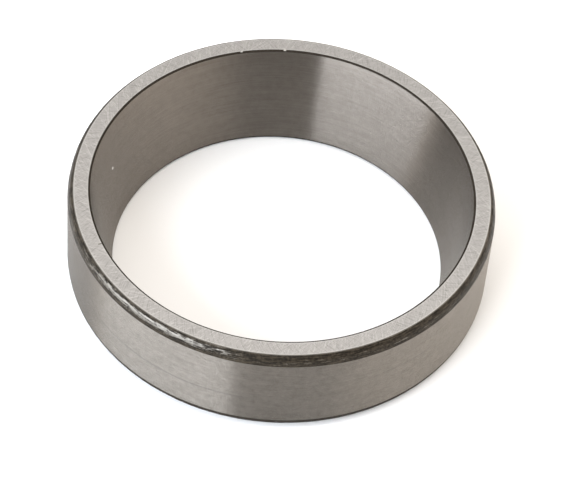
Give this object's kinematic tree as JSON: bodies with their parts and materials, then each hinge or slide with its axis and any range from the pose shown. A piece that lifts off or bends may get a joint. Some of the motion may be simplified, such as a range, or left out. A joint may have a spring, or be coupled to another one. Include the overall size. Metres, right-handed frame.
{
  "type": "tapered roller bearing cup",
  "caption": "Outer ring (cup) of a tapered roller bearing: a hardened steel ring with ground faces and outside, a conical raceway inside and unground rounded corners.",
  "frame": {"origin": "centre of the back face, the thick-walled end, which seats on the housing's shoulder", "axes": "+Z along the ring's axis from the back face to the front face, where the raceway is widest; X and Y are equal, as the ring is round"},
  "size_m": [0.0932, 0.0932, 0.0238],
  "materials": {
    "bearing_steel": "ground steel, satin; the rounded corners keep the dark scale of hardening"
  },
  "bodies": {
    "root": {"bearing_cup": "bearing_steel"}
  },
  "joints": []
}
